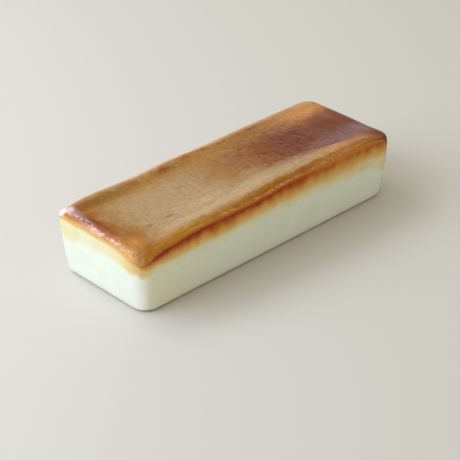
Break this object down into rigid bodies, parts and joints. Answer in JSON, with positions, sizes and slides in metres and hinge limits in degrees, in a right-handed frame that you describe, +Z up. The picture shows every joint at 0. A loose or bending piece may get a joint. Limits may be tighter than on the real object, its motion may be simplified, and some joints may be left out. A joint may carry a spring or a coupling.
{
  "type": "cheesecake",
  "caption": "Whole loaf-shaped baked cheesecake bar with leaning pale walls, a browned glossy top skin, an uneven raised rim and a shallow dished middle.",
  "frame": {"origin": "middle of the bounding box, on the flat underside", "axes": "+X along the bar, +Y across it, +Z up out of the browned top"},
  "size_m": [0.1938, 0.0732, 0.0437],
  "materials": {
    "cheesecake": "moist pale cream curd on the walls, with a thin glossy golden-brown baked skin on top"
  },
  "bodies": {
    "root": {"cheesecake": "cheesecake"}
  },
  "joints": []
}
